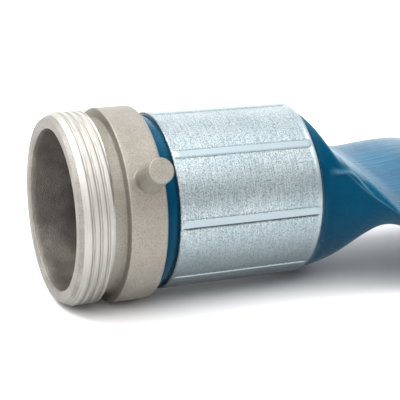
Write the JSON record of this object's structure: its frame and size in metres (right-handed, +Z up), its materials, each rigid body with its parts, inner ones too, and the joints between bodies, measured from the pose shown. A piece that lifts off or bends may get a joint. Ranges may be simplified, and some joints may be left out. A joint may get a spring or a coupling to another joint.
{
  "type": "crimped hose coupling",
  "caption": "Cast male threaded hose shank with pin lugs, crimped to a rolled lay-flat discharge hose that ends in a swivel female coupling.",
  "frame": {"origin": "centre of the male coupling's end face, on the axis of its waterway", "axes": "+X along the male coupling from its nose to the hose, +Z up, so the first pin lug points to -Y and a little up"},
  "size_m": [0.6018, 0.0878, 0.186],
  "materials": {
    "cast_aluminium": "sand cast, machined thread and nose",
    "zinc_plated_steel": "bright zinc plated, marked by the press dies",
    "hose_pvc": "glossy blue extruded PVC",
    "hose_yarn": "woven polyester yarn",
    "strap_fabric": "woven nylon strap",
    "gasket_rubber": "matte moulded rubber"
  },
  "bodies": {
    "hose_assembly": {"male_shank": "cast_aluminium", "male_ferrule": "zinc_plated_steel", "male_hose_liner": "hose_pvc", "male_hose_yarn": "hose_yarn", "male_hose_cover": "hose_pvc", "hose_lead": "hose_pvc", "hose_roll": "hose_pvc", "hose_tail": "hose_pvc", "roll_tie_top": "strap_fabric", "roll_tie_side": "strap_fabric", "female_hose_liner": "hose_pvc", "female_hose_yarn": "hose_yarn", "female_hose_cover": "hose_pvc", "female_ferrule": "zinc_plated_steel", "female_shank": "cast_aluminium", "gasket": "gasket_rubber"},
    "swivel": {"swivel_nut": "cast_aluminium"}
  },
  "joints": [
    {"name": "nut_swivel", "type": "hinge", "parent": "hose_assembly", "child": "swivel", "pos_m": [0.56985, 0, 0.0052], "axis": [1, 0, 0], "continuous": true}
  ]
}
